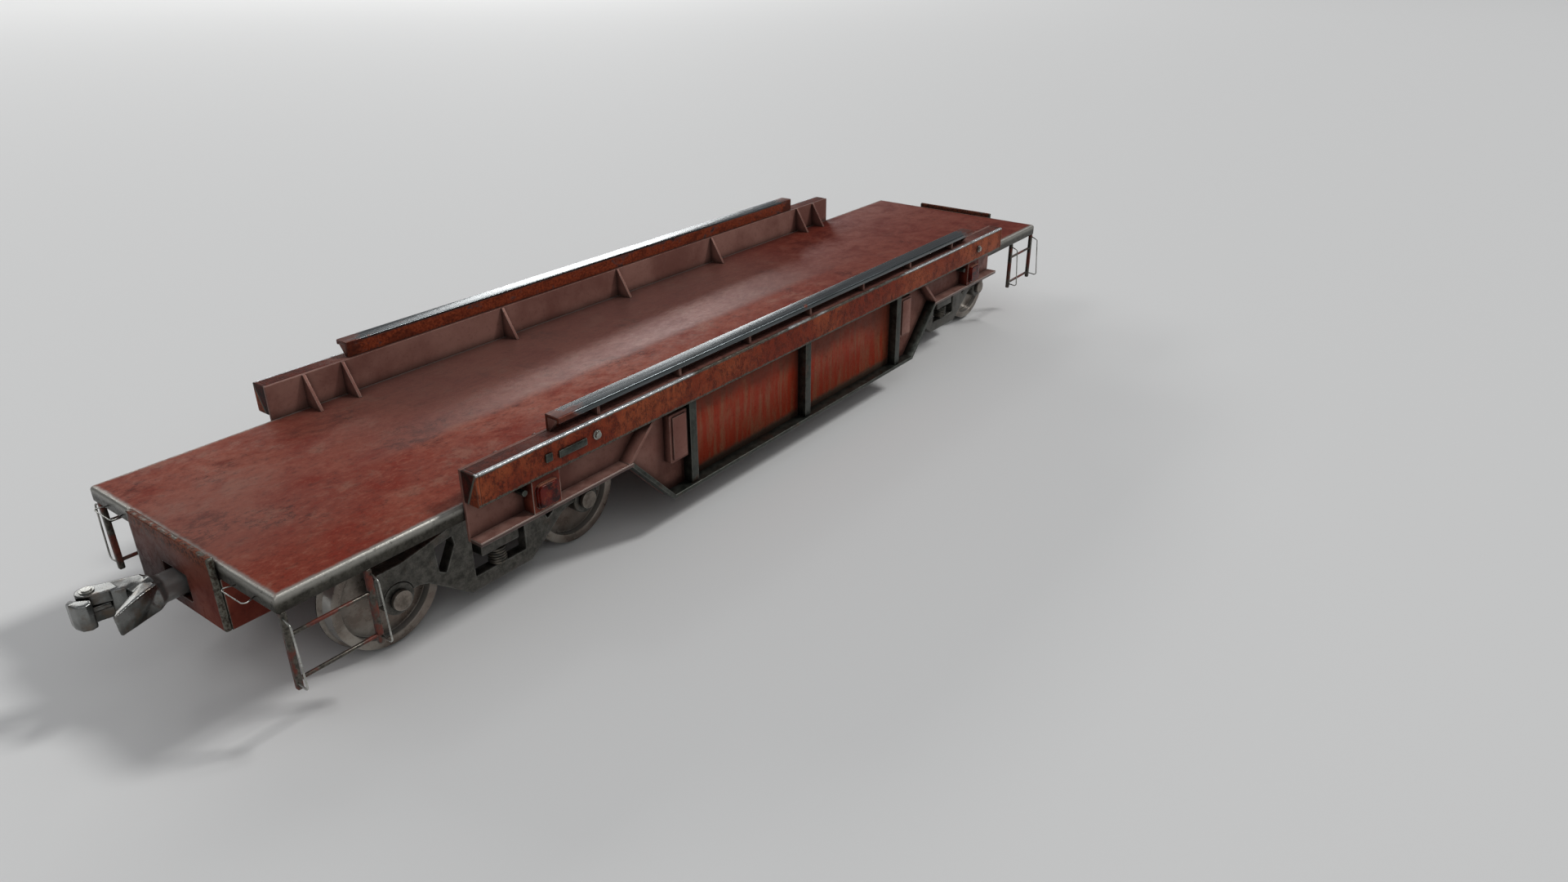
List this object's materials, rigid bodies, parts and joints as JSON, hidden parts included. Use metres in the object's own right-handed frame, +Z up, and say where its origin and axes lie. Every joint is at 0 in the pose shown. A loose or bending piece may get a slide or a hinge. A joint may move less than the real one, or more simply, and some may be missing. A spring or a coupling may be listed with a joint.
{
  "type": "model flat car",
  "caption": "Flat car with fishbelly side girders, guide rails, corner steps, sprung swivelling bogies and knuckle couplers that swing and open.",
  "frame": {"origin": "middle of the car in plan, at the level of the bottom of the wheel flanges", "axes": "+X along the car towards its front end, +Y across to the left side, +Z up"},
  "size_m": [0.4148, 0.0964, 0.0529],
  "materials": {
    "deck_paint": "worn red-oxide paint, bare on the edges",
    "girder_paint": "faded brown-red primer",
    "frame_paint": "grimy brown primer",
    "rusted_paint": "orange rust over red paint",
    "dark_steel": "dark worn steel",
    "worn_steel": "dark steel, polished by wear",
    "bright_steel": "bare steel",
    "spring_steel": "oiled spring steel",
    "wheel_steel": "brown-grey rolled steel",
    "cast_iron": "dark grey casting",
    "lens_red": "deep red glossy lens"
  },
  "bodies": {
    "car": {"deck": "deck_paint", "centre_sill": "frame_paint", "cross_bearers": "frame_paint", "body_bolsters": "frame_paint", "body_side_bearers": "cast_iron", "side_web_left": "girder_paint", "side_web_right": "girder_paint", "top_beam_left": "rusted_paint", "top_beam_right": "rusted_paint", "beam_end_caps": "rusted_paint", "bottom_flange_left": "dark_steel", "bottom_flange_right": "dark_steel", "belly_partitions": "girder_paint", "web_stiffeners": "dark_steel", "deck_gussets": "girder_paint", "guide_rail_left": "dark_steel", "guide_rail_right": "dark_steel", "guide_brackets": "girder_paint", "side_boxes": "girder_paint", "side_box_doors": "deck_paint", "lamp_housings": "girder_paint", "lamp_lenses": "lens_red", "lamp_studs": "bright_steel", "beam_bolts": "bright_steel", "beam_pads": "dark_steel", "end_plate_front": "deck_paint", "end_plate_rear": "deck_paint", "draft_boxes": "deck_paint", "step_posts": "rusted_paint", "step_rungs": "rusted_paint", "step_handles": "bright_steel", "grab_irons": "bright_steel", "coupler_pivot_pins": "dark_steel", "coupler_spacers": "cast_iron", "centre_plates": "cast_iron", "kingpins": "dark_steel", "kingpin_collars": "cast_iron"},
    "bogie_front": {"bolster_front": "cast_iron"},
    "frames_front": {"side_frames_front": "cast_iron", "springs_front": "spring_steel", "bearings_front": "cast_iron"},
    "wheelset_front_outer": {"axle_front_outer": "dark_steel", "wheels_front_outer": "wheel_steel"},
    "wheelset_front_inner": {"axle_front_inner": "dark_steel", "wheels_front_inner": "wheel_steel"},
    "coupler_front": {"coupler_front": "worn_steel", "knuckle_pin_front": "bright_steel"},
    "knuckle_front": {"knuckle_front": "worn_steel"},
    "bogie_rear": {"bolster_rear": "cast_iron"},
    "frames_rear": {"side_frames_rear": "cast_iron", "springs_rear": "spring_steel", "bearings_rear": "cast_iron"},
    "wheelset_rear_outer": {"axle_rear_outer": "dark_steel", "wheels_rear_outer": "wheel_steel"},
    "wheelset_rear_inner": {"axle_rear_inner": "dark_steel", "wheels_rear_inner": "wheel_steel"},
    "coupler_rear": {"coupler_rear": "worn_steel", "knuckle_pin_rear": "bright_steel"},
    "knuckle_rear": {"knuckle_rear": "worn_steel"}
  },
  "joints": [
    {"name": "bogie_front_swivel", "type": "hinge", "parent": "car", "child": "bogie_front", "pos_m": [0.1206, 0, 0.0175], "axis": [0, 0, 1], "range_deg": [-8, 8]},
    {"name": "bogie_front_springing", "type": "slide", "parent": "bogie_front", "child": "frames_front", "axis": [0, 0, 1], "range_m": [-0.0004, 0.0012], "stiffness_N_per_m": 10000, "springref_m": -0.0008, "deforming": ["springs_front"]},
    {"name": "wheelset_front_outer_roll", "type": "hinge", "parent": "frames_front", "child": "wheelset_front_outer", "pos_m": [0.1516, 0, 0.016], "axis": [0, 1, 0], "continuous": true},
    {"name": "wheelset_front_inner_roll", "type": "hinge", "parent": "frames_front", "child": "wheelset_front_inner", "pos_m": [0.0896, 0, 0.016], "axis": [0, 1, 0], "continuous": true},
    {"name": "coupler_front_swing", "type": "hinge", "parent": "car", "child": "coupler_front", "pos_m": [0.178, 0, 0.0275], "axis": [0, 0, 1], "range_deg": [-12, 12]},
    {"name": "knuckle_front_open", "type": "hinge", "parent": "coupler_front", "child": "knuckle_front", "pos_m": [0.2025, -0.0062, 0.0275], "axis": [0, 0, -1], "range_deg": [0, 42]},
    {"name": "bogie_rear_swivel", "type": "hinge", "parent": "car", "child": "bogie_rear", "pos_m": [-0.1206, 0, 0.0175], "axis": [0, 0, 1], "range_deg": [-8, 8]},
    {"name": "bogie_rear_springing", "type": "slide", "parent": "bogie_rear", "child": "frames_rear", "axis": [0, 0, 1], "range_m": [-0.0004, 0.0012], "stiffness_N_per_m": 10000, "springref_m": -0.0008, "deforming": ["springs_rear"]},
    {"name": "wheelset_rear_outer_roll", "type": "hinge", "parent": "frames_rear", "child": "wheelset_rear_outer", "pos_m": [-0.1516, 0, 0.016], "axis": [0, 1, 0], "continuous": true},
    {"name": "wheelset_rear_inner_roll", "type": "hinge", "parent": "frames_rear", "child": "wheelset_rear_inner", "pos_m": [-0.0896, 0, 0.016], "axis": [0, 1, 0], "continuous": true},
    {"name": "coupler_rear_swing", "type": "hinge", "parent": "car", "child": "coupler_rear", "pos_m": [-0.178, 0, 0.0275], "axis": [0, 0, 1], "range_deg": [-12, 12]},
    {"name": "knuckle_rear_open", "type": "hinge", "parent": "coupler_rear", "child": "knuckle_rear", "pos_m": [-0.2025, 0.0062, 0.0275], "axis": [0, 0, -1], "range_deg": [0, 42]}
  ]
}
